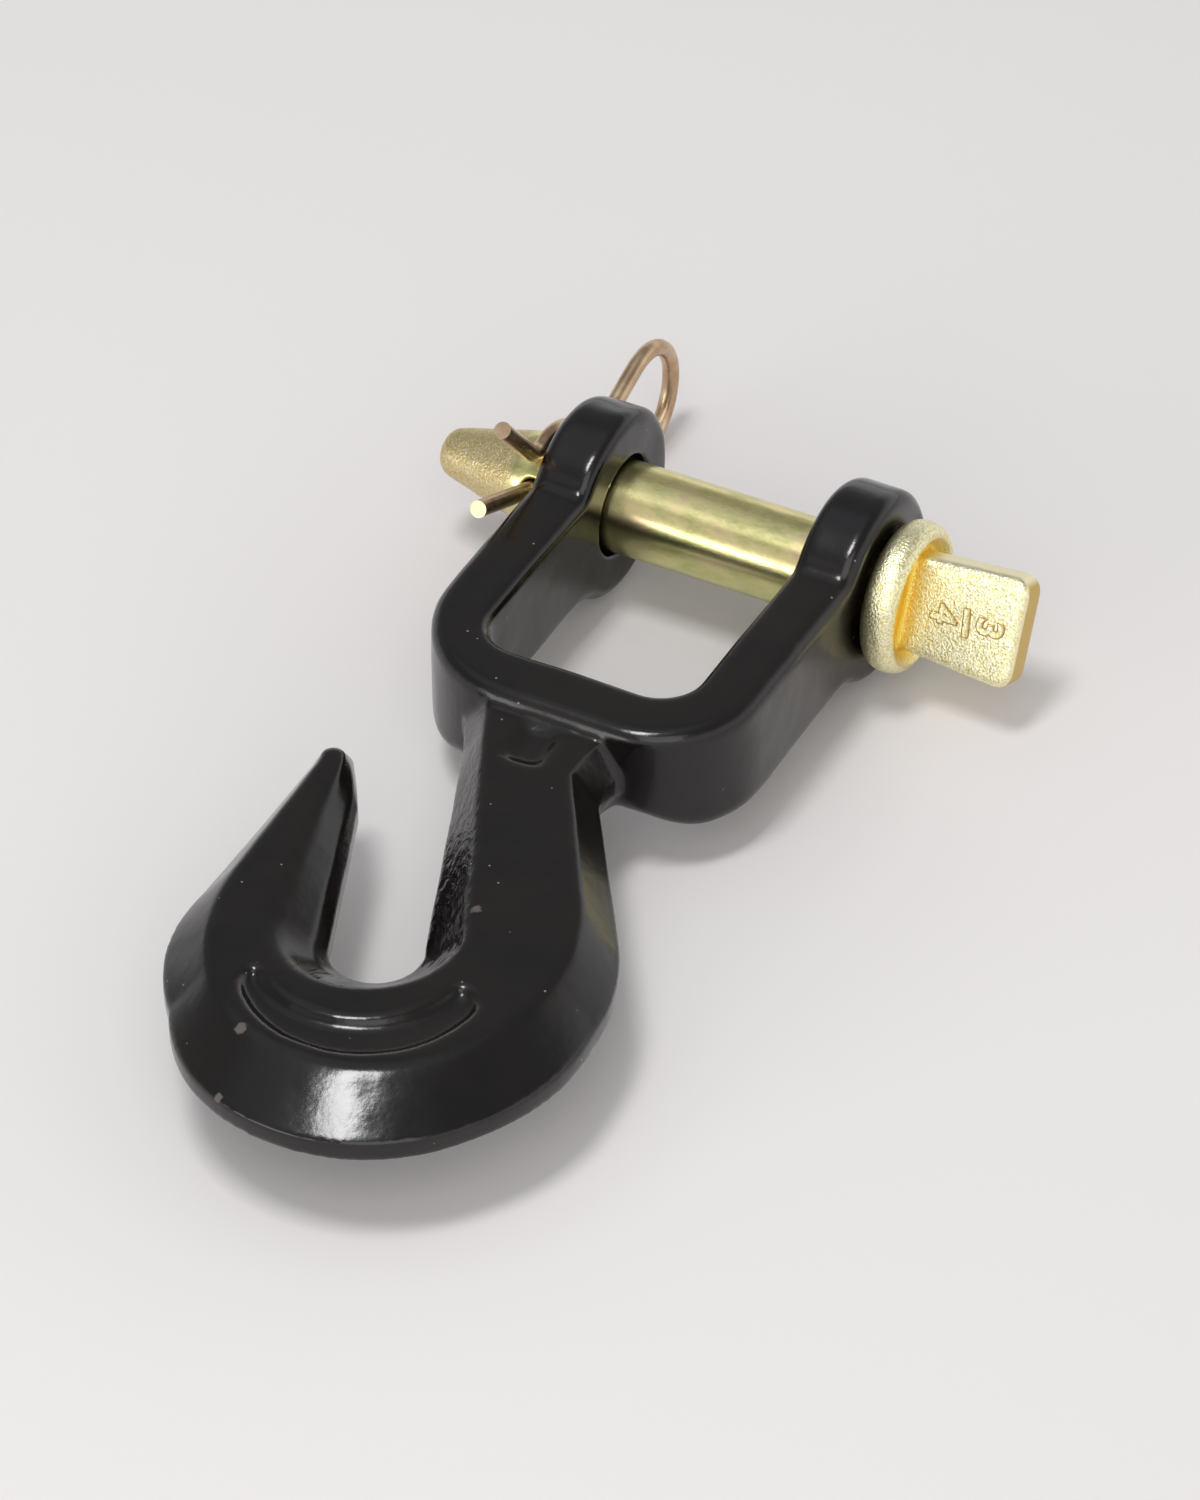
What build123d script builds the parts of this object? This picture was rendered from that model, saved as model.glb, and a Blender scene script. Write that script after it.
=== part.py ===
from build123d import *
from math import acos, cos, degrees, radians, sin
import os

os.makedirs("parts", exist_ok=True)

# Driving dimensions in millimetres. X runs along the pin towards its head,
# Y from the hook towards the eyes and Z is square to the flat of the
# forging. The origin is on the pin axis, midway between the two eyes.

# Hitch pin
pin_d = 19.05               # three quarter inch pin
handle_turn = -25.0         # degrees the handle is turned about the pin axis
collar_d = 31.2
collar_w = 7.9
collar_round = 3.4
dish_d = 26.6
dish_deep = 2.6
dish_slope = 2.2            # dish narrower at its floor, each side
handle_thick = 8.0
handle_root_w = 19.6
handle_end_w = 23.6
handle_out = 22.2           # handle's end beyond the collar's outer face
handle_corner = 3.6
handle_edge = 1.9
nose_d = 9.0
nose_len = 19.4             # taper from the full diameter to the nose
nose_past_clip = 4.4        # full diameter carried beyond the clip
nose_round = 3.6

# Hairpin clip
wire_d = 3.5
hug_gap = 0.12              # clip's bend to the pin
hole_clear = 0.8            # cross hole larger than the wire
leg_len = 32.6              # straight leg beyond the pin axis, at its cut end
hug_angles = (34.0, 127.0)  # stretch of the pin that the bend goes round
waist_bend = 5.0
flare_bend = 6.0
flare_len = 17.0
flare_rise = 25.0
eye_drop = 2.5              # eye's lowest point below the straight leg's line
strand_rise = 43.0
eye_bend = 12.2
neck_bend = 9.0             # from the eye back to the straight leg

# Clevis
gap_w = 44.8
arm_wall = 13.2
inner_depth = 62.3          # pin axis to the inside of the bottom
bottom_wall = 13.9
arm_h = 25.0
eye_d = 40.2
eye_blend = 12.0
inner_corner = 8.5
left_corner = 27.0
right_corner = 22.0
outer_round = 3.2
inner_round = 2.6
bore_clear = 1.6            # bore larger than the pin
bore_chamfer = 0.5

# Running gaps along the pin
collar_gap = 0.4            # collar to the near eye
clip_gap = 2.0              # clip to the far eye

# Hook
hook_h = 19.0
rim_h = 4.0                 # upright band at the parting line
crown_round = 1.1           # height of the rounding between slope and flat
slope_share = 0.86          # share of the way to the top outline that is slope
root_in = 7.0               # hook's root reaches this far into the bottom
crescent_deep = 2.0
crescent_draft = 7.0        # degrees the recess walls lean outwards
pad_w = 7.6
pad_len = 10.4
pad_corner = 1.8
pad_at = (1.4, -7.0)        # middle of the pad, from the clevis's outer bottom
pad_turn = 4.0
pad_deep = 1.1
pad_slope = 0.2             # pad narrower at its floor, each side

# Worked out from the above
pin_r = pin_d / 2
wire_r = wire_d / 2
half_gap = gap_w / 2
ear_out = half_gap + arm_wall
bottom_out = inner_depth + bottom_wall
eye_r = eye_d / 2
bore_r = pin_r + bore_clear / 2
hook_top = hook_h / 2
rim_half = rim_h / 2
clip_x = -(ear_out + clip_gap + wire_r)
collar_x = ear_out + collar_gap
reach = bottom_out + ear_out          # blanks and cutters run past every section


def clevis_plan():
    """Plan of the U, seen along Z: a block with round corners less the gap."""
    with BuildSketch(Plane.XY) as plan:
        with Locations((0, (eye_r - bottom_out) / 2)):
            Rectangle(2 * ear_out, eye_r + bottom_out)
        fillet(plan.vertices().group_by(Axis.Y)[0].sort_by(Axis.X)[-1], right_corner)
        fillet(plan.vertices().group_by(Axis.Y)[0].sort_by(Axis.X)[0], left_corner)
        with BuildSketch(mode=Mode.SUBTRACT) as gap:
            with Locations((0, (reach - inner_depth) / 2)):
                Rectangle(gap_w, reach + inner_depth)
            fillet(gap.vertices().group_by(Axis.Y)[0], inner_corner)
    return plan.sketch


def arm_side():
    """Side view of an arm, seen along X: round eye blended into a straight bar."""
    with BuildSketch(Plane.YZ) as side:
        Circle(eye_r)
        with Locations((-bottom_out / 2, 0)):
            Rectangle(bottom_out, arm_h)
        notches = side.vertices().filter_by(lambda v: -eye_r < v.Y < -1)
        fillet(notches, eye_blend)
    return side.sketch


# The hook is a grab hook. Its outline is drawn with one run of lines and
# arcs, at the parting line and again, smaller, at the top. Each entry holds
# the two places of one point, measured from the middle of the clevis's bottom.
root_x = {"left": (-21.0, -15.4), "right": (21.0, 15.0)}
outline = {
    "left_flare": ((-16.6, -1.8), (-11.9, -0.8)),
    "left_foot": ((-13.4, -7.8), (-8.9, -7.4)),
    "neck": ((7.3, -60.2), (15.0, -57.0)),
    "throat": ((2.5, -73.6), (-0.6, -84.0)),
    "throat_end": ((-8.6, -68.2), (-19.2, -72.0)),
    "tip_inner": ((-23.0, -31.0), (-27.0, -35.0)),
    "tip_cheek": ((-26.6, -25.2), (-27.5, -30.2)),
    "tip_end": ((-30.6, -19.4), (-28.7, -25.8)),
    "tip": ((-34.0, -18.2), (-30.9, -24.5)),
    "tip_outer": ((-37.2, -23.4), (-32.6, -28.4)),
    "flank": ((-37.1, -66.0), (-31.2, -60.0)),
    "bowl_left": ((-34.5, -84.8), (-28.6, -76.5)),
    "bowl_low_left": ((-26.6, -97.0), (-21.3, -90.4)),
    "bowl": ((5.4, -116.7), (5.0, -103.6)),
    "bowl_low_right": ((37.9, -100.0), (30.8, -89.6)),
    "bowl_right": ((45.4, -84.0), (36.2, -76.0)),
    "hip": ((46.5, -66.0), (36.8, -64.0)),
    "shoulder": ((43.8, -52.5), (34.2, -49.5)),
    "back": ((38.2, -41.2), (28.5, -38.5)),
    "right_foot": ((17.3, -9.6), (11.6, -10.2)),
    "right_flare": ((16.2, -3.6), (11.9, -3.4)),
}
# A point with a power above 1 leaves the rim steeply, so the tip's inner side is round.
round_side = {"throat_end": 1.7, "tip_inner": 1.9, "tip_cheek": 1.9}


def bottom_plane(height):
    """Level plane with its origin at the clevis's outer bottom."""
    return Plane(origin=(0, -bottom_out, height))


def between(low, high, share):
    return low + (high - low) * share


def hook_section(share, height):
    """Outline of the hook at a height; share 0 is the parting line, 1 the top."""
    p = {}
    for name, (low, high) in outline.items():
        way = share ** round_side.get(name, 1.0)
        p[name] = (between(low[0], high[0], way), between(low[1], high[1], way))
    left, right = ((between(*root_x[side], share), root_in) for side in ("left", "right"))
    with BuildSketch(bottom_plane(height)) as section:
        with BuildLine():
            ThreePointArc(left, p["left_flare"], p["left_foot"])
            Line(p["left_foot"], p["neck"])
            ThreePointArc(p["neck"], p["throat"], p["throat_end"])
            Line(p["throat_end"], p["tip_inner"])
            ThreePointArc(p["tip_inner"], p["tip_cheek"], p["tip_end"])
            ThreePointArc(p["tip_end"], p["tip"], p["tip_outer"])
            Line(p["tip_outer"], p["flank"])
            ThreePointArc(p["flank"], p["bowl_left"], p["bowl_low_left"])
            ThreePointArc(p["bowl_low_left"], p["bowl"], p["bowl_low_right"])
            ThreePointArc(p["bowl_low_right"], p["bowl_right"], p["hip"])
            ThreePointArc(p["hip"], p["shoulder"], p["back"])
            Line(p["back"], p["right_foot"])
            ThreePointArc(p["right_foot"], p["right_flare"], right)
            Line(right, left)
        make_face()
    return section.sketch


# Upper half of the hook: a straight slope from the rim, then the rounding on
# to the flat. Each pair is the share of the way to the top outline, and how
# much of the rounding's height is still to come there.
rounding = ((slope_share, 1.0), (0.95, 0.44), (1.04, 0.11), (1.13, 0.0))
slope_top = hook_top - crown_round
with BuildPart() as hook_upper:
    add(hook_section(0, rim_half))
    add(hook_section(slope_share / 2, (rim_half + slope_top) / 2))
    for share, left in rounding:
        add(hook_section(share, hook_top - crown_round * left))
    loft(ruled=True)

# Crescent recess in the bowl: two long arcs and two short ends at its mouth.
# Both recesses are drawn on the underside, narrower towards their floor.
crescent_outer = ((-13.1, -92.4), (8.3, -99.6), (27.7, -78.0))
crescent_right_end = (25.6, -74.6)
crescent_inner = ((22.0, -73.4), (4.0, -92.2), (-14.1, -85.6))
crescent_left_end = (-14.7, -88.8)
with BuildPart() as crescent:
    with BuildSketch(bottom_plane(-hook_top)):
        with BuildLine():
            ThreePointArc(*crescent_outer)
            ThreePointArc(crescent_outer[-1], crescent_right_end, crescent_inner[0])
            ThreePointArc(*crescent_inner)
            ThreePointArc(crescent_inner[-1], crescent_left_end, crescent_outer[0])
        make_face()
    extrude(amount=crescent_deep, taper=crescent_draft)

# Small square recess at the hook's root
with BuildPart() as pad:
    for lean, height in ((0, -hook_top), (pad_slope, pad_deep - hook_top)):
        with BuildSketch(bottom_plane(height)):
            with Locations(Location(pad_at, pad_turn)):
                RectangleRounded(pad_w - 2 * lean, pad_len - 2 * lean, pad_corner - lean)
    loft(ruled=True)


def gap_edges(part):
    """Edges of the faces that look into the clevis's gap."""
    return part.edges().filter_by(
        lambda e: abs(e.center().X) < half_gap + 1 and e.center().Y > -inner_depth - 1
    )


# Clevis and hook are one forging.
with BuildPart() as clevis_hook:
    add(extrude(clevis_plan(), amount=reach, both=True, mode=Mode.PRIVATE))
    add(extrude(arm_side(), amount=reach, both=True, mode=Mode.PRIVATE), mode=Mode.INTERSECT)
    fillet(clevis_hook.edges() - gap_edges(clevis_hook), outer_round)
    fillet(gap_edges(clevis_hook), inner_round)
    add(extrude(hook_section(0, 0), amount=rim_half, both=True, mode=Mode.PRIVATE))
    add(hook_upper.part)
    add(mirror(hook_upper.part, about=Plane.XY, mode=Mode.PRIVATE))
    add(crescent.part, mode=Mode.SUBTRACT)
    add(mirror(crescent.part, about=Plane.XY, mode=Mode.PRIVATE), mode=Mode.SUBTRACT)
    add(mirror(pad.part, about=Plane.XY, mode=Mode.PRIVATE), mode=Mode.SUBTRACT)
    with Locations(Plane.YZ):
        Hole(bore_r)
    rims = clevis_hook.edges().filter_by(GeomType.CIRCLE).filter_by(
        lambda e: abs(e.radius - bore_r) < 0.01 and abs(e.arc_center.Y) < 0.01
    )
    chamfer(rims, bore_chamfer)
    clevis_hook.part.label = "clevis_hook"

# The clip's straight leg runs along leg_dir; the handle lies square to it.
leg_dir = (0, cos(radians(handle_turn)), sin(radians(handle_turn)))
handle_plane = Plane(origin=(0, 0, 0), x_dir=(1, 0, 0), z_dir=leg_dir)
collar_face = collar_x + collar_w
handle_root = collar_face - dish_deep - 1
handle_end = collar_face + handle_out
nose_start = clip_x - nose_past_clip
nose_x = nose_start - nose_len

# Flat handle, wider at its end
with BuildPart() as handle:
    with BuildSketch(handle_plane) as blade:
        with BuildLine():
            Polyline(
                (handle_root, handle_root_w / 2), (handle_end, handle_end_w / 2),
                (handle_end, -handle_end_w / 2), (handle_root, -handle_root_w / 2), close=True,
            )
        make_face()
        fillet(blade.vertices().group_by(Axis.X)[-1], handle_corner)
    extrude(amount=handle_thick / 2, both=True)
    fillet(handle.edges().filter_by(lambda e: e.center().X > handle_root + 1), handle_edge)

with BuildPart() as hitch_pin:
    # Shank with its tapered nose
    with BuildSketch(Plane.XY) as shank:
        with BuildLine():
            Polyline(
                (collar_x + collar_w / 2, 0), (collar_x + collar_w / 2, pin_r), (nose_start, pin_r),
                (nose_x, nose_d / 2), (nose_x, 0), close=True,
            )
        make_face()
        fillet(shank.vertices().filter_by(lambda v: v.X < nose_x + 1 and v.Y > 1), nose_round)
        fillet(shank.vertices().filter_by(lambda v: abs(v.X - nose_start) < 1), nose_len)
    revolve(axis=Axis.X)
    # Round collar with a dished outer face
    with BuildSketch(Plane.XY) as collar:
        with Locations((collar_x + collar_w / 2, collar_d / 4)):
            Rectangle(collar_w, collar_d / 2)
        fillet(collar.vertices().group_by(Axis.Y)[-1], collar_round)
    revolve(axis=Axis.X)
    with BuildSketch(Plane.XY):
        with BuildLine():
            Polyline(
                (collar_face - dish_deep, 0), (collar_face - dish_deep, dish_d / 2 - dish_slope),
                (collar_face, dish_d / 2), (collar_face + 1, dish_d / 2 + 1),
                (collar_face + 1, 0), close=True,
            )
        make_face()
    revolve(axis=Axis.X, mode=Mode.SUBTRACT)
    add(handle.part)
    # Cross hole for the clip
    with Locations(Plane(origin=(clip_x, 0, 0), z_dir=leg_dir)):
        Hole((wire_d + hole_clear) / 2)
    hitch_pin.part.label = "hitch_pin"

# The clip is one wire, drawn flat with its straight leg along X. The bend
# round the pin comes first, then the waist and strand up to the eye, which
# comes back down to the leg; the flared end is on the other side of the pin.
hug_r = pin_r + hug_gap + wire_r
enter, leave = hug_angles


def heading(angle):
    return (cos(radians(angle)), sin(radians(angle)))


def on_hug(angle):
    """Point of the wire on its bend round the pin, at an angle from the leg."""
    return tuple(hug_r * c for c in heading(angle))


with BuildLine() as wire:
    ThreePointArc(on_hug(leave), on_hug(90), on_hug(enter))
    waist = JernArc(on_hug(enter), heading(enter - 90), waist_bend, 90 - enter + strand_rise)
    strand_top = eye_bend * (1 + cos(radians(strand_rise))) - eye_drop
    strand_len = (strand_top - (waist @ 1).Y) / sin(radians(strand_rise))
    strand = Line(waist @ 1, waist @ 1 + Vector(*heading(strand_rise)) * strand_len)
    eye = JernArc(strand @ 1, heading(strand_rise), eye_bend, -(180 + strand_rise))
    back_up = degrees(acos(1 - eye_drop / (eye_bend + neck_bend)))
    climb = JernArc(eye @ 1, heading(180), eye_bend, -back_up)
    level = JernArc(climb @ 1, heading(180 - back_up), neck_bend, back_up)
    Line(level @ 1, (-leg_len, 0))
    flare = JernArc(on_hug(leave), heading(leave + 90), flare_bend, 90 - leave - flare_rise)
    Line(flare @ 1, flare @ 1 + Vector(*heading(180 - flare_rise)) * flare_len)

clip_plane = Plane(origin=(clip_x, 0, 0), x_dir=leg_dir, z_dir=(1, 0, 0))
route = clip_plane.from_local_coords(wire.wires()[0])
with BuildPart() as hairpin_clip:
    with BuildSketch(Plane(origin=route @ 0, z_dir=-(route % 0))):
        Circle(wire_r)
    sweep(path=route)
    hairpin_clip.part.label = "hairpin_clip"

for piece in (clevis_hook, hitch_pin, hairpin_clip):
    export_step(piece.part, "parts/" + piece.part.label + ".step")
    print(piece.part.label, piece.part.volume, piece.part.is_valid, len(piece.solids()))
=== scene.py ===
"""Clevis grab hook with its cross pin and hairpin clip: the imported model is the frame, the
forging and the pin get worked skins over their CAD nodes, and a plain studio lights them."""
from math import cos, radians, sin

import bpy
import numpy as np
from mathutils import Matrix, Vector


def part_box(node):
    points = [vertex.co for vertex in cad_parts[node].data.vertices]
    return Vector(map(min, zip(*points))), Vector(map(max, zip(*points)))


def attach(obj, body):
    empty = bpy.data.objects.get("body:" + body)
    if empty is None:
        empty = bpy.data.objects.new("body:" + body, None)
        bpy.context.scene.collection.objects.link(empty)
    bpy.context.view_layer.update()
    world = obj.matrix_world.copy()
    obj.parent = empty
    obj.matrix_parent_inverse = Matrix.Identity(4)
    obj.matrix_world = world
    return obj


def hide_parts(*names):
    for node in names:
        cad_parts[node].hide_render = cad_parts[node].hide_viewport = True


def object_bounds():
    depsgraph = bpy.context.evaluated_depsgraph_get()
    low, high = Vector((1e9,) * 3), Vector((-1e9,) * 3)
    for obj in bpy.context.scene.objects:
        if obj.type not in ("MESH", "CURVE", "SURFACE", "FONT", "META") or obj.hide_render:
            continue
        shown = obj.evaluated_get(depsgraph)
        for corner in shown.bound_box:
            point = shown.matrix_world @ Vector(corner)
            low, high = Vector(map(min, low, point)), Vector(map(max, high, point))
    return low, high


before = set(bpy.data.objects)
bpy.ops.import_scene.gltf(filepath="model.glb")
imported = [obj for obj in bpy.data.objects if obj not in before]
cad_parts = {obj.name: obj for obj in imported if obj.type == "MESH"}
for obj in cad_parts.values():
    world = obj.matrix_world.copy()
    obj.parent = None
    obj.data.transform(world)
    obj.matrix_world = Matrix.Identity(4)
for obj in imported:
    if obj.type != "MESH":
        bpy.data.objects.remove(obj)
cad_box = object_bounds()

MM = 0.001

# Sizes of the CAD pieces, in millimetres, where a pattern or a piece depends on them. The
# handle's turn about the pin is in degrees.
HANDLE_TURN = -25.0
HANDLE_THICK = 8.0
HANDLE_END = 66.1
COLLAR_X = 36.0
COLLAR_FACE = 43.9
DISH_R = 13.3
DISH_DEEP = 2.6
NOSE_START = -43.75
CLEVIS_BOTTOM = -76.2
THROAT_MIDDLE = (-8.0, -122.0)

# Where the hook's two recesses lie, in millimetres: three points on each long side of the
# crescent, the line across each of its ends (a corner, the way outwards and how far past the
# corner), the middle and half sizes of the pad, and how far off the middle plane both start
CRESCENT_OUTER = ((-13.1, -168.6), (8.3, -175.8), (27.7, -154.2))
CRESCENT_INNER = ((22.0, -149.6), (4.0, -168.4), (-14.1, -161.8))
CRESCENT_ENDS = (
    (CRESCENT_INNER[0], (0.63, 0.78), 1.3),
    (CRESCENT_INNER[2], (-0.99, -0.15), 0.8),
)
PAD_MIDDLE = (1.4, -83.2)
PAD_HALF = (3.8, 5.2)
RECESS_LEVEL = 6.0
NO_RECESS = -9.0

# Skins over the CAD nodes: voxel sizes in millimetres, passes that even out the voxels' steps,
# and passes that round the recesses' lips
FORGING_VOXEL = 0.68
PIN_VOXEL = 0.5
EVEN_PASSES = 3
LIP_PASSES = 8

# Layers of lattice noise: height and cell in millimetres, and seed. Each is then sunk by its
# own depth, so that it hardly rises above the CAD surface, and so is the whole pin.
FORGE_WAVES = ((0.14, 13.0, 3), (0.05, 5.0, 5))
FORGE_SUNK = 0.15
EYE_DENTS = ((0.16, 7.0, 8),)
DENTS_SUNK = 0.16
PLATE_GRAINS = ((0.035, 1.5, 11), (0.02, 0.9, 12))
GRAINS_SUNK = 0.06
PIN_SUNK = 0.01

# Over how many millimetres the pin's granular skin fades in
GRAINS_FADE = 1.5

# The raised size on the handle: each glyph with its place along the pin in millimetres and its
# lean in degrees, then their size, upright sides and sloping sides in millimetres
NUMERALS = (("3", 59.4, 0.0), ("I", 54.6, 84.0), ("4", 49.5, 0.0))
NUMERAL_SIZE = 7.6
NUMERAL_STRAIGHT = 0.14
NUMERAL_SLOPE = 0.42

# Where the enamel is chipped to its grey primer: middle and size in millimetres
CHIPS = (((-8.0, -178.1, 8.9), 1.1), ((-6.1, -190.3, 2.3), 0.7), ((14.9, -129.7, 9.5), 0.9))

# The camera, fitted to the object's straight edges: angles in degrees, its target and its
# distance in millimetres, its focal length in pixels of a frame of this many rows, and the
# size of its sensor along them in millimetres
CAMERA_AZIMUTH, CAMERA_ELEVATION, CAMERA_ROLL = 28.35, 40.02, -0.67
CAMERA_TARGET = (8.44, -68.99, 0.0)
CAMERA_DISTANCE = 1533.05
FOCAL_PIXELS, FRAME_ROWS = 8000.5, 1500
SENSOR = 36.0

# The studio, in metres: half the floor's side, its gap under the object, and the softboxes'
# aim, then each softbox with its place, width, height and watts
FLOOR_HALF = 8.0
FLOOR_GAP = 0.0002
LAMPS_AIM = (0.008, -0.07, 0.0)
SOFTBOXES = (
    ("overhead", (-0.11, -0.50, 1.7), 0.32, 0.5, 12.0),
    ("front", (0.80, -1.50, 1.45), 1.4, 1.6, 11.0),
    ("high_front", (-0.73, -1.60, 0.92), 1.2, 1.5, 1.6),
    ("low_front", (-0.65, -1.7, 0.4), 1.2, 0.6, 6.5),
)

# Places of a Mix node's colour sockets
COLOUR_A, COLOUR_B, COLOUR_OUT = 6, 7, 2


# Meshes


def ramp(values, zero_at, one_at):
    """0 up to one value, 1 past the other, and a straight line between them."""
    return np.clip((values - zero_at) / (one_at - zero_at), 0, 1)


def new_object(name, data):
    """Adds an object to the scene, at the origin, unturned and unscaled."""
    made = bpy.data.objects.new(name, data)
    bpy.context.scene.collection.objects.link(made)
    return made


def finished_mesh(thing):
    """An object's mesh with its modifiers or bevels applied; the object itself goes."""
    graph = bpy.context.evaluated_depsgraph_get()
    mesh = bpy.data.meshes.new_from_object(thing.evaluated_get(graph))
    bpy.data.objects.remove(thing)
    return mesh


def corners_of(mesh, what):
    """Each corner's place or normal, one row each."""
    values = np.empty(len(mesh.vertices) * 3)
    mesh.vertices.foreach_get(what, values)
    return values.reshape(-1, 3)


def even_skin(node_name, name, voxel):
    """An even quad skin over a copy of a CAD node, for a surface to be worked: the loose
    triangles' corners are merged, then come a voxel remesh and a smoothing of the voxels'
    steps. Returns the object, and its corners in mm with their normals."""
    copy = new_object(node_name + "_skin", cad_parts[node_name].data.copy())
    weld = copy.modifiers.new("weld", "WELD")
    weld.merge_threshold = 0.02 * MM
    remesh = copy.modifiers.new("skin", "REMESH")
    remesh.mode = "VOXEL"
    remesh.voxel_size = voxel * MM
    smooth = copy.modifiers.new("even", "SMOOTH")
    smooth.factor = 0.5
    smooth.iterations = EVEN_PASSES
    piece = new_object(name, finished_mesh(copy))
    return piece, corners_of(piece.data, "co") / MM, corners_of(piece.data, "normal")


def lattice_noise(points, cell, seed):
    """Smooth noise from -1 to 1: a random value at each corner of a cubic lattice, blended
    across the cell with the curve 3t^2 - 2t^3 along each axis."""
    side = 64
    table = np.random.default_rng(seed).uniform(-1, 1, (side, side, side))
    grid = points / cell
    corner = np.floor(grid).astype(int)
    t = grid - corner
    t = t * t * (3 - 2 * t)
    total = np.zeros(len(points))
    for step in np.ndindex(2, 2, 2):
        weight = np.prod(np.where(step, t, 1 - t), axis=1)
        at = (corner + step) % side
        total += weight * table[at[:, 0], at[:, 1], at[:, 2]]
    return total


def layered(points, layers):
    """Sum of layers of lattice noise, each times its height in mm."""
    return sum(height * lattice_noise(points, cell, seed) for height, cell, seed in layers)


def neighbour_mean(piece, values):
    """Mean of each corner's neighbours along the mesh's edges, for one or more columns."""
    ends = np.empty(len(piece.data.edges) * 2, dtype=np.int32)
    piece.data.edges.foreach_get("vertices", ends)
    a, b = ends.reshape(-1, 2).T
    size = len(values)
    count = np.bincount(a, minlength=size) + np.bincount(b, minlength=size)
    sums = [np.bincount(a, column[b], size) + np.bincount(b, column[a], size)
            for column in values.T]
    return np.stack(sums, axis=1) / count[:, None]


def edge_share(piece, points, normals):
    """0 on flats and hollows to 1 on sharp outer edges: how far a corner stands out from the
    mean of its neighbours, from 0.035 to 0.11 mm, spread over one more ring."""
    out = np.sum((points - neighbour_mean(piece, points)) * normals, axis=1)
    share = ramp(out, 0.035, 0.11)[:, None]
    return (0.5 * share + 0.5 * neighbour_mean(piece, share))[:, 0]


def work_surface(piece, points, normals, rise, node_name):
    """Moves each corner along its normal by rise, in mm, and keeps it in its node's box."""
    low, high = (np.array(c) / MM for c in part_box(node_name))
    moved = np.clip(points + normals * rise[:, None], low, high)
    piece.data.vertices.foreach_set("co", (moved * MM).astype(np.float32).ravel())
    piece.data.shade_smooth()
    piece.data.update()


def mark(piece, name, values):
    """Keeps one number per corner in the mesh, for a material to read."""
    layer = piece.data.attributes.new(name, "FLOAT", "POINT")
    layer.data.foreach_set("value", values.astype(np.float32))


def circle(a, b, c):
    """Centre and radius of the circle through three points, from its two chord equations."""
    a, b, c = (np.array(p) for p in (a, b, c))
    centre = np.linalg.solve(2 * np.array((b - a, c - a)), (b @ b - a @ a, c @ c - a @ a))
    return centre, np.linalg.norm(a - centre)


def recess_depth_in(points):
    """How far each corner lies inside the outline of either recess, seen from above, in mm:
    the crescent is inside its outer circle, outside its inner one and short of a line across
    each end, and the pad is a rectangle."""
    flat = points[:, :2]
    outer, outer_r = circle(*CRESCENT_OUTER)
    inner, inner_r = circle(*CRESCENT_INNER)
    crescent = np.minimum(outer_r - np.linalg.norm(flat - outer, axis=1),
                          np.linalg.norm(flat - inner, axis=1) - inner_r)
    for corner, outwards, past in CRESCENT_ENDS:
        crescent = np.minimum(crescent, past - (flat - corner) @ np.array(outwards))
    pad = np.min(np.array(PAD_HALF) - np.abs(flat - PAD_MIDDLE), axis=1)
    on_flats = np.abs(points[:, 2]) > RECESS_LEVEL
    return np.where(on_flats, np.maximum(crescent, pad), NO_RECESS)


def forging():
    """Clevis and hook: the recesses' lips are rounded by drawing corners halfway to the mean
    of their neighbours, pass after pass, then waves from a worn die come from lattice noise,
    always inwards, with dents on the eyes. The mark pit is 1 on the recesses' floors, lip is 1
    on a thin line along their outer lips, flank is 1 on the sides round the throat, where the
    flash was sheared off, and edge is 1 on sharp outer edges."""
    piece, points, normals = even_skin("clevis_hook", "forging", FORGING_VOXEL)

    # Lips are rounded from 2.4 mm outside the outline on, and floors start 1.8 mm inside it
    inside = recess_depth_in(points)
    lips = ramp(inside, -2.4, -1.4)[:, None]
    for _ in range(LIP_PASSES):
        points = points + 0.5 * lips * (neighbour_mean(piece, points) - points)
    mark(piece, "pit", ramp(inside, 1.8, 2.8))

    # The line is 1 mm wide, just outside the outline, where the lip leans towards the eyes
    mark(piece, "lip", ramp(np.abs(inside + 0.5), 0.5, 0.0) * (normals[:, 1] > 0.05))

    # Sides that face the middle of the throat, below the clevis, with little on the tip's bevel
    to_throat = np.array(THROAT_MIDDLE) - points[:, :2]
    facing = np.sum(to_throat * normals[:, :2], axis=1) / np.linalg.norm(to_throat, axis=1)
    on_hook = ramp(points[:, 1], CLEVIS_BOTTOM - 1.0, CLEVIS_BOTTOM - 4.0)
    tip_bevel = (normals[:, 0] > 0.2) & (np.abs(normals[:, 2]) > 0.45)
    mark(piece, "flank", ramp(facing, 0.15, 0.4) * on_hook * np.where(tip_bevel, 0.1, 1))
    mark(piece, "edge", edge_share(piece, points, normals))

    on_eyes = ramp(points[:, 1], 2.0, 10.0)
    waves = layered(points, FORGE_WAVES) - FORGE_SUNK
    dents = on_eyes * (layered(points, EYE_DENTS) - DENTS_SUNK)
    work_surface(piece, points, normals, waves + dents, "clevis_hook")
    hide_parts("clevis_hook")
    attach(piece, "hook")
    return piece


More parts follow.
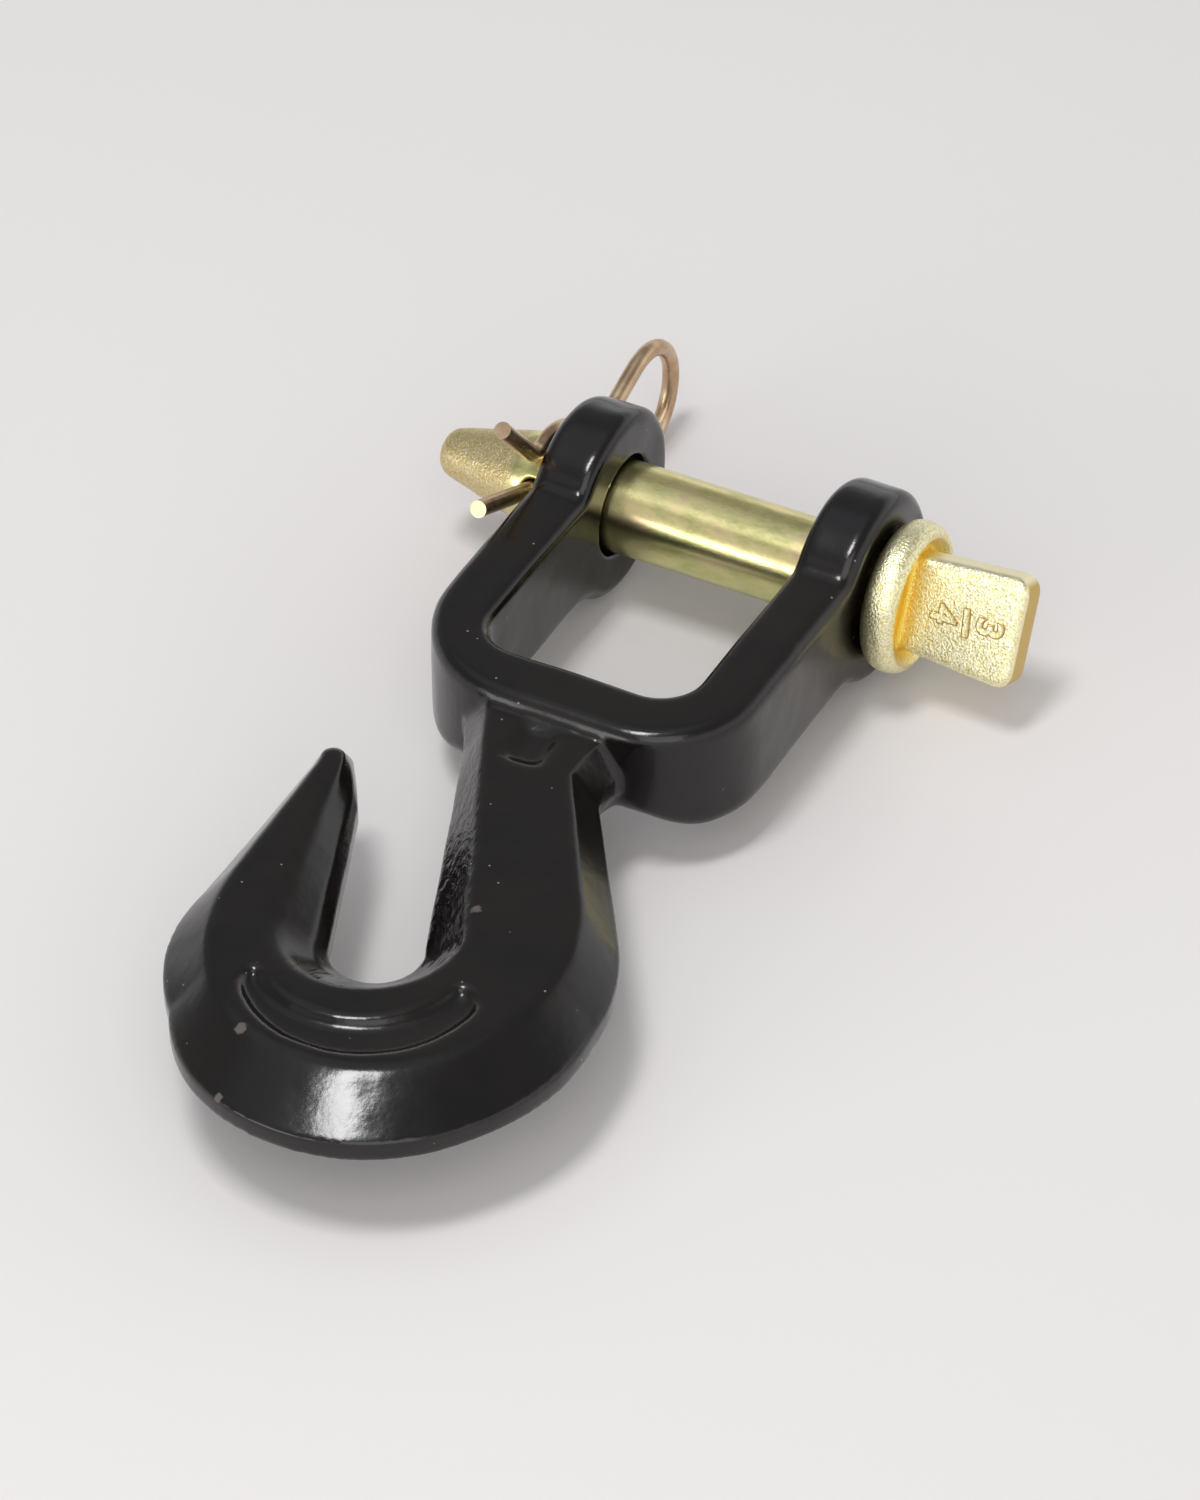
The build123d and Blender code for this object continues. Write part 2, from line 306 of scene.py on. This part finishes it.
def pin_surface():
    """Pin: smooth turned shank; the forged head and nose have a granular skin of lattice noise,
    which fades in past the collar and past the clip. The mark forged is 1 on that skin, deep is
    1 in the collar's hollow, for its deeper yellow, partly a thicker film and partly painted
    reflection, and trimmed is 0.5 on the handle's narrow sides, where its flash was cut off,
    and
    1 on its end; dull is 0.5 on the nose, which it turns a darker brown gold."""
    piece, points, normals = even_skin("hitch_pin", "plated_pin", PIN_VOXEL)
    along = points[:, 0]
    on_nose = ramp(along, NOSE_START, NOSE_START - GRAINS_FADE)
    forged = ramp(along, COLLAR_X, COLLAR_X + GRAINS_FADE) + on_nose
    across = np.hypot(points[:, 1], points[:, 2])
    depth = ramp(along, COLLAR_FACE + 0.4, COLLAR_FACE + 0.4 - DISH_DEEP)
    in_dish = (across < DISH_R + 0.5) & (along > COLLAR_FACE - DISH_DEEP - 1.0)
    turn = radians(HANDLE_TURN)
    off_face = 1 - np.abs(normals @ np.array((0, cos(turn), sin(turn))))
    on_handle = ramp(along, COLLAR_FACE + 0.5, COLLAR_FACE + 1.5)
    at_end = ramp(along, HANDLE_END - 1.6, HANDLE_END - 0.6)
    mark(piece, "forged", forged)
    mark(piece, "deep", np.where(in_dish, depth, 0.0))
    mark(piece, "trimmed", on_handle * ramp(off_face, 0.35, 0.65) * (0.5 + 0.5 * at_end))
    mark(piece, "dull", 0.5 * on_nose)
    rise = forged * (layered(points, PLATE_GRAINS) - GRAINS_SUNK) - PIN_SUNK
    work_surface(piece, points, normals, rise, "hitch_pin")
    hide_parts("hitch_pin")
    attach(piece, "pin")
    return piece


def numerals():
    """The pin's size raised on the handle's face as a stacked fraction, 3 over 4, read with the
    handle's end up: each glyph a text solid with sloping sides, its bar a capital I laid over.
    The mark forged is 1 all over, and dull is 1 at each glyph's foot, for painted shade in the
    hollow round it, and 0 on its top."""
    turn = radians(HANDLE_TURN)
    out = Vector((0, -cos(turn), -sin(turn)))
    along, down = Vector((1, 0, 0)), Vector((1, 0, 0)).cross(out)
    pieces = []
    for glyph, x, lean in NUMERALS:
        curve = bpy.data.curves.new("numeral", "FONT")
        curve.body = glyph
        curve.align_x = "CENTER"
        curve.align_y = "CENTER"
        curve.size = NUMERAL_SIZE * MM
        curve.extrude = NUMERAL_STRAIGHT * MM
        curve.bevel_depth = NUMERAL_SLOPE * MM
        curve.bevel_resolution = 0
        mesh = finished_mesh(new_object("numeral", curve))
        mesh.shade_flat()
        heights = corners_of(mesh, "co")[:, 2] / MM
        # Painted shade: darker gold from each glyph's foot, fading out up its sloping sides
        foot = ramp(heights, NUMERAL_STRAIGHT + NUMERAL_SLOPE, NUMERAL_STRAIGHT)
        up = along * cos(radians(lean)) + down * sin(radians(lean))
        place = Matrix((up.cross(out), up, out)).transposed().to_4x4()
        place.translation = (Vector((x, 0, 0)) + out * (HANDLE_THICK / 2)) * MM
        mesh.transform(place)
        piece = new_object("size_mark_" + str(len(pieces)), mesh)
        mark(piece, "forged", np.ones(len(mesh.vertices)))
        mark(piece, "dull", foot)
        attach(piece, "pin")
        pieces.append(piece)
    return pieces


# Materials


def rgb(code):
    """sRGB hex code to linear colour."""
    parts = [int(code[i:i + 2], 16) / 255 for i in (1, 3, 5)]
    return tuple(c / 12.92 if c <= 0.04045 else ((c + 0.055) / 1.055) ** 2.4
                 for c in parts) + (1.0,)


def grey(value):
    """A grey of this linear value, for masks and lights."""
    return (value, value, value, 1.0)


def per_metre(millimetres):
    """Texture scale for a pattern whose cells are this size."""
    return 1 / (millimetres * MM)


def add(tree, kind, inputs=(), stops=(), **settings):
    """Adds one node. inputs pairs a socket with a value or with the socket that feeds it, and
    stops gives a colour ramp's places and colours."""
    made = tree.nodes.new(kind)
    for name, value in settings.items():
        setattr(made, name, value)
    for socket, value in inputs:
        if isinstance(value, bpy.types.NodeSocket):
            tree.links.new(value, made.inputs[socket])
        else:
            made.inputs[socket].default_value = value
    for i, (place, colour) in enumerate(stops):
        points = made.color_ramp.elements
        point = points[i] if i < len(points) else points.new(place)
        point.position, point.color = place, colour
    return made


def new_material(name):
    """An empty material, its node tree, and the socket that gives the place on the object."""
    material = bpy.data.materials.new(name)
    material.use_nodes = True
    tree = material.node_tree
    tree.nodes.clear()
    place = add(tree, "ShaderNodeTexCoord").outputs["Object"]
    return material, tree, place


def chipped(tree, place):
    """Mask of the chips: 1 within each chip's size and 0 past 0.4 mm more, its rim made
    ragged by noise of 1.4 mm."""
    ragged = add(tree, "ShaderNodeTexNoise", [
        ("Vector", place), ("Scale", per_metre(1.4)), ("Detail", 2.0)])
    mask = None
    for middle, size in CHIPS:
        far = add(tree, "ShaderNodeVectorMath", [
            (0, place), (1, [c * MM for c in middle])], operation="DISTANCE")
        rim = add(tree, "ShaderNodeMath", [
            (0, ragged.outputs["Fac"]), (1, 1.6 * MM), (2, far.outputs["Value"])],
            operation="MULTIPLY_ADD")
        spot = add(tree, "ShaderNodeMapRange", [
            ("Value", rim.outputs[0]), ("From Min", (size + 1.1) * MM),
            ("From Max", (size + 0.7) * MM)]).outputs["Result"]
        mask = spot if mask is None else add(tree, "ShaderNodeMath", [
            (0, mask), (1, spot)], operation="MAXIMUM").outputs[0]
    return mask


def black_enamel():
    """Semi-gloss black enamel dipped over a drop forging: thick, brownish where it is thin and
    paler on sharp edges, with the scale's grain under it, coarser on the recesses' floors,
    sheared streaks round the throat, pale specks of dust and three small chips."""
    material, tree, place = new_material("black_enamel_on_forging")

    # Body of the paint: thick and thin places of the dip, 22 mm across
    patches = add(tree, "ShaderNodeTexNoise", [
        ("Vector", place), ("Scale", per_metre(22)), ("Detail", 4.0)])
    tone = add(tree, "ShaderNodeValToRGB", [("Fac", patches.outputs["Fac"])],
               ((0.35, rgb("#0A0808")), (0.7, rgb("#140E0B"))))

    # Sharp edges and the recesses' lips, where it ran thin, in spots of 4 mm
    edge = add(tree, "ShaderNodeAttribute", attribute_name="edge")
    thin_spots = add(tree, "ShaderNodeTexNoise", [
        ("Vector", place), ("Scale", per_metre(4)), ("Detail", 3.0)])
    thin = add(tree, "ShaderNodeMapRange", [
        ("Value", thin_spots.outputs["Fac"]), ("From Min", 0.42), ("From Max", 0.62),
        ("To Max", 0.5)])
    worn = add(tree, "ShaderNodeMath", [
        (0, edge.outputs["Fac"]), (1, thin.outputs["Result"])], operation="MULTIPLY")
    lip = add(tree, "ShaderNodeAttribute", attribute_name="lip")
    shown = add(tree, "ShaderNodeMath", [
        (0, lip.outputs["Fac"]), (1, 0.4), (2, worn.outputs[0])], operation="MULTIPLY_ADD")
    rubbed = add(tree, "ShaderNodeMix", [
        (0, shown.outputs[0]), (COLOUR_A, tone.outputs["Color"]),
        (COLOUR_B, rgb("#4A3A34"))], data_type="RGBA")

    # Specks of dust, one in some cells of 4.5 mm, and the chips
    dust = add(tree, "ShaderNodeTexVoronoi", [("Vector", place), ("Scale", per_metre(4.5))])
    fleck = add(tree, "ShaderNodeValToRGB", [("Fac", dust.outputs["Distance"])],
                ((0.035, grey(1)), (0.06, grey(0))))
    rare = add(tree, "ShaderNodeTexNoise", [
        ("Vector", place), ("Scale", per_metre(9)), ("Detail", 1.0)])
    rare_mask = add(tree, "ShaderNodeValToRGB", [("Fac", rare.outputs["Fac"])],
                    ((0.45, grey(0)), (0.51, grey(1))))
    dusty = add(tree, "ShaderNodeMath", [
        (0, fleck.outputs["Color"]), (1, rare_mask.outputs["Color"])], operation="MULTIPLY")
    chips = chipped(tree, place)
    bare = add(tree, "ShaderNodeMix", [
        (0, chips), (COLOUR_A, rubbed.outputs[COLOUR_OUT]), (COLOUR_B, rgb("#554D4A"))],
        data_type="RGBA")
    colour = add(tree, "ShaderNodeMix", [
        (0, dusty.outputs[0]), (COLOUR_A, bare.outputs[COLOUR_OUT]),
        (COLOUR_B, rgb("#857B75"))], data_type="RGBA")

    # Gloss: duller on the recesses' floors, and much duller on the chips
    gloss = add(tree, "ShaderNodeMapRange", [
        ("Value", patches.outputs["Fac"]), ("From Min", 0.3), ("From Max", 0.7),
        ("To Min", 0.14), ("To Max", 0.22)])
    pit = add(tree, "ShaderNodeAttribute", attribute_name="pit")
    coarse = add(tree, "ShaderNodeMath", [
        (0, pit.outputs["Fac"]), (1, 0.14), (2, gloss.outputs["Result"])],
        operation="MULTIPLY_ADD")
    dull = add(tree, "ShaderNodeMath", [
        (0, chips), (1, 0.4), (2, coarse.outputs[0])], operation="MULTIPLY_ADD")

    # Relief: sheared streaks of 1.5 mm, nine times as long, then the forging scale's grain of
    # 3.6 mm and the paint's orange peel of 1.1 mm
    streak_place = add(tree, "ShaderNodeMapping", [
        ("Vector", place), ("Rotation", (-0.5, 0.0, 0.0)), ("Scale", (1.0, 9.0, 1.0))],
        vector_type="TEXTURE")
    streaks = add(tree, "ShaderNodeTexNoise", [
        ("Vector", streak_place.outputs["Vector"]), ("Scale", per_metre(1.5)),
        ("Detail", 3.0)])
    flank = add(tree, "ShaderNodeAttribute", attribute_name="flank")
    shear = add(tree, "ShaderNodeBump", [
        ("Height", streaks.outputs["Fac"]), ("Strength", flank.outputs["Fac"]),
        ("Distance", 0.3 * MM)])
    scale_grain = add(tree, "ShaderNodeTexNoise", [
        ("Vector", place), ("Scale", per_metre(3.6)), ("Detail", 4.0), ("Roughness", 0.5)])
    pitted = add(tree, "ShaderNodeMath", [
        (0, pit.outputs["Fac"]), (1, 0.6), (2, 0.22)], operation="MULTIPLY_ADD")
    low = add(tree, "ShaderNodeBump", [
        ("Height", scale_grain.outputs["Fac"]), ("Strength", pitted.outputs[0]),
        ("Distance", 0.3 * MM), ("Normal", shear.outputs["Normal"])])
    peel = add(tree, "ShaderNodeTexNoise", [
        ("Vector", place), ("Scale", per_metre(1.1)), ("Detail", 2.0)])
    fine = add(tree, "ShaderNodeBump", [
        ("Height", peel.outputs["Fac"]), ("Strength", 0.12), ("Distance", 0.1 * MM),
        ("Normal", low.outputs["Normal"])])

    shader = add(tree, "ShaderNodeBsdfPrincipled", [
        ("Base Color", colour.outputs[COLOUR_OUT]), ("Roughness", dull.outputs[0]),
        ("IOR", 1.5), ("Normal", fine.outputs["Normal"])])
    add(tree, "ShaderNodeOutputMaterial", [("Surface", shader.outputs["BSDF"])])
    return material


def yellow_zinc():
    """Zinc plate with a yellow chromate film over steel: the turned shank is smooth pale gold,
    mottled green and rose, and greener low down as a painted reflection of the dim surroundings
    below it; the forged head and nose are granular, deeper yellow in the dish, partly a thicker
    film and partly a painted reflection of the gold round it, golden on the cut end, and a
    darker brown gold on the nose and, as painted shade, at the numerals' foot."""
    material, tree, place = new_material("yellow_zinc_plate")
    forged = add(tree, "ShaderNodeAttribute", attribute_name="forged")
    deep = add(tree, "ShaderNodeAttribute", attribute_name="deep")
    trimmed = add(tree, "ShaderNodeAttribute", attribute_name="trimmed")
    dull = add(tree, "ShaderNodeAttribute", attribute_name="dull")

    # Shank: clouds of 5 mm in the film, drawn out along the pin, and greener and darker low
    # down, a painted reflection of the dim surroundings below it
    along = add(tree, "ShaderNodeMapping", [("Vector", place), ("Scale", (0.45, 1.0, 1.0))])
    cloud = add(tree, "ShaderNodeTexNoise", [
        ("Vector", along.outputs["Vector"]), ("Scale", per_metre(5)), ("Detail", 8.0),
        ("Roughness", 0.68)])
    film = add(tree, "ShaderNodeValToRGB", [("Fac", cloud.outputs["Fac"])],
               ((0.36, rgb("#BFC07C")), (0.46, rgb("#DCD494")), (0.56, rgb("#EEDFA4")),
                (0.68, rgb("#E6CBA0"))))
    height = add(tree, "ShaderNodeSeparateXYZ", [("Vector", place)])
    # Painted reflection: the film goes towards a darker green on the pin's low side, for the
    # dim surroundings it mirrors
    low_side_reflection = add(tree, "ShaderNodeMapRange", [
        ("Value", height.outputs["Z"]), ("From Min", -2 * MM), ("From Max", 6 * MM),
        ("To Min", 0.5), ("To Max", 0.0)])
    shank = add(tree, "ShaderNodeMix", [
        (0, low_side_reflection.outputs["Result"]), (COLOUR_A, film.outputs["Color"]),
        (COLOUR_B, rgb("#C6CA8E"))], data_type="RGBA")

    # Head and nose: the forging's grit of about 0.2 mm, too fine to show, is drawn at 0.45 mm
    grain = add(tree, "ShaderNodeTexNoise", [
        ("Vector", place), ("Scale", per_metre(0.45)), ("Detail", 1.0)])
    cast = add(tree, "ShaderNodeValToRGB", [("Fac", grain.outputs["Fac"])],
               ((0.3, rgb("#DED088")), (0.5, rgb("#F8F0C0")), (0.65, rgb("#FFFFE8"))))
    plate = add(tree, "ShaderNodeMix", [
        (0, forged.outputs["Fac"]), (COLOUR_A, shank.outputs[COLOUR_OUT]),
        (COLOUR_B, cast.outputs["Color"])], data_type="RGBA")

    # The handle's trimmed sides and its cut end; the dish's deeper yellow, partly a thicker
    # film and partly a painted reflection of the gold round it; and a darker brown gold on the
    # nose and, as painted shade, at the numerals' foot
    cut_tone = add(tree, "ShaderNodeValToRGB", [("Fac", trimmed.outputs["Fac"])],
                   ((0.5, rgb("#FBF2CC")), (1.0, rgb("#D2B468"))))
    is_cut = add(tree, "ShaderNodeMath", [
        (0, trimmed.outputs["Fac"]), (1, 2.0)], operation="MULTIPLY", use_clamp=True)
    cut = add(tree, "ShaderNodeMix", [
        (0, is_cut.outputs[0]), (COLOUR_A, plate.outputs[COLOUR_OUT]),
        (COLOUR_B, cut_tone.outputs["Color"])], data_type="RGBA")
    # Deeper yellow in the dish: partly a thicker film, partly a painted reflection of its gold
    # walls
    dish_film_and_reflection = add(tree, "ShaderNodeMix", [
        (0, deep.outputs["Fac"]), (COLOUR_A, cut.outputs[COLOUR_OUT]),
        (COLOUR_B, rgb("#F7D35A"))], data_type="RGBA")
    # Darker brown gold: painted shade at each numeral's foot, and on the nose at half strength
    colour = add(tree, "ShaderNodeMix", [
        (0, dull.outputs["Fac"]), (COLOUR_A, dish_film_and_reflection.outputs[COLOUR_OUT]),
        (COLOUR_B, rgb("#B08A3C"))], data_type="RGBA")

    # Gloss and relief: the forged skin is rougher, and its trimmed places are smooth
    gloss = add(tree, "ShaderNodeMapRange", [
        ("Value", forged.outputs["Fac"]), ("To Min", 0.24), ("To Max", 0.40)])
    smooth = add(tree, "ShaderNodeMath", [(0, 1.0), (1, is_cut.outputs[0])],
                 operation="SUBTRACT")
    rough = add(tree, "ShaderNodeMath", [
        (0, forged.outputs["Fac"]), (1, smooth.outputs[0])], operation="MULTIPLY")
    strength = add(tree, "ShaderNodeMath", [
        (0, rough.outputs[0]), (1, 0.7), (2, 0.06)], operation="MULTIPLY_ADD")
    bump = add(tree, "ShaderNodeBump", [
        ("Height", grain.outputs["Fac"]), ("Strength", strength.outputs[0]),
        ("Distance", 0.22 * MM)])

    shader = add(tree, "ShaderNodeBsdfPrincipled", [
        ("Base Color", colour.outputs[COLOUR_OUT]), ("Metallic", 1.0),
        ("Roughness", gloss.outputs["Result"]), ("Normal", bump.outputs["Normal"])])
    add(tree, "ShaderNodeOutputMaterial", [("Surface", shader.outputs["BSDF"])])
    return material


def bronzed_wire():
    """Drawn spring wire, zinc plated with a bronze tint: smooth, with clouds of 5 mm in the
    tint, paler where it rubbed, and a faint unevenness of 0.9 mm from drawing and bending."""
    material, tree, place = new_material("bronze_tinted_spring_wire")
    cloud = add(tree, "ShaderNodeTexNoise", [
        ("Vector", place), ("Scale", per_metre(5)), ("Detail", 4.0)])
    tint = add(tree, "ShaderNodeValToRGB", [("Fac", cloud.outputs["Fac"])],
               ((0.3, rgb("#B39276")), (0.55, rgb("#CFB392")), (0.75, rgb("#E6D6AC"))))
    gloss = add(tree, "ShaderNodeMapRange", [
        ("Value", cloud.outputs["Fac"]), ("To Min", 0.22), ("To Max", 0.36)])
    drawn = add(tree, "ShaderNodeTexNoise", [
        ("Vector", place), ("Scale", per_metre(0.9)), ("Detail", 2.0)])
    bump = add(tree, "ShaderNodeBump", [
        ("Height", drawn.outputs["Fac"]), ("Strength", 0.15), ("Distance", 0.1 * MM)])
    shader = add(tree, "ShaderNodeBsdfPrincipled", [
        ("Base Color", tint.outputs["Color"]), ("Metallic", 1.0),
        ("Roughness", gloss.outputs["Result"]), ("Normal", bump.outputs["Normal"])])
    add(tree, "ShaderNodeOutputMaterial", [("Surface", shader.outputs["BSDF"])])
    return material


def wear(piece, material):
    """Puts one material on a whole piece."""
    piece.data.materials.clear()
    piece.data.materials.append(material)


# Studio


def floor():
    """A pale painted floor just under the object, matt so that it mirrors nothing."""
    level = cad_box[0][2] - FLOOR_GAP
    corners = [(x * FLOOR_HALF, y * FLOOR_HALF, level)
               for x, y in ((-1, -1), (1, -1), (1, 1), (-1, 1))]
    mesh = bpy.data.meshes.new("floor")
    mesh.from_pydata(corners, [], [(0, 1, 2, 3)])
    plane = new_object("floor", mesh)
    material, tree, _ = new_material("pale_floor")
    shader = add(tree, "ShaderNodeBsdfPrincipled", [
        ("Base Color", rgb("#E6E2E1")), ("Roughness", 0.9), ("Specular IOR Level", 0.1)])
    add(tree, "ShaderNodeOutputMaterial", [("Surface", shader.outputs["BSDF"])])
    wear(plane, material)


def sky():
    """Room light by height: pale at the horizon, dim above it, a little paler and bluer
    overhead. The dim part comes down lower on the left."""
    world = bpy.data.worlds.new("studio")
    bpy.context.scene.world = world
    world.use_nodes = True
    tree = world.node_tree
    tree.nodes.clear()
    way = add(tree, "ShaderNodeTexCoord").outputs["Generated"]
    height = add(tree, "ShaderNodeVectorMath", [(0, way), (1, (-0.25, 0.0, 1.0))],
                 operation="DOT_PRODUCT")
    shade = add(tree, "ShaderNodeValToRGB", [("Fac", height.outputs["Value"])],
                ((0.0, grey(1.0)), (0.25, grey(0.95)), (0.50, grey(0.33)),
                 (0.85, grey(0.31)), (0.97, (0.54, 0.57, 0.62, 1.0))))
    light = add(tree, "ShaderNodeBackground", [
        ("Color", shade.outputs["Color"]), ("Strength", 1.0)])
    add(tree, "ShaderNodeOutputWorld", [("Surface", light.outputs["Background"])])


def softbox(name, place, width, height, watts):
    """Flat lamp of a softbox's size, in metres, aimed at the object's middle."""
    lamp = bpy.data.lights.new(name, "AREA")
    lamp.shape = "RECTANGLE"
    lamp.size, lamp.size_y, lamp.energy = width, height, watts
    holder = new_object(name, lamp)
    holder.location = place
    aim = Vector(LAMPS_AIM) - Vector(place)
    holder.rotation_euler = aim.to_track_quat("-Z", "Y").to_euler()


def camera():
    """The photograph's camera: where it looks, how far off it stands, its turn and its lens."""
    azimuth, elevation, roll = map(radians, (CAMERA_AZIMUTH, CAMERA_ELEVATION, CAMERA_ROLL))
    back = Vector((sin(azimuth) * cos(elevation), -cos(azimuth) * cos(elevation),
                   sin(elevation)))
    level = Vector((cos(azimuth), sin(azimuth), 0))
    upright = back.cross(level)
    right = level * cos(roll) + upright * sin(roll)
    up = upright * cos(roll) - level * sin(roll)
    lens = bpy.data.cameras.new("camera")
    lens.sensor_width = SENSOR
    lens.lens = FOCAL_PIXELS / FRAME_ROWS * SENSOR
    lens.clip_end = 100.0
    holder = new_object("camera", lens)
    place = Matrix((right, up, back)).transposed().to_4x4()
    place.translation = (Vector(CAMERA_TARGET) + back * CAMERA_DISTANCE) * MM
    holder.matrix_world = place
    bpy.context.scene.camera = holder


enamel, plate, wire = black_enamel(), yellow_zinc(), bronzed_wire()
wear(forging(), enamel)
wear(pin_surface(), plate)
for numeral in numerals():
    wear(numeral, plate)
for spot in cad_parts["hairpin_clip"].material_slots:
    spot.material = wire

floor()
sky()
for box in SOFTBOXES:
    softbox(*box)
camera()
bpy.context.scene.view_settings.view_transform = "Standard"
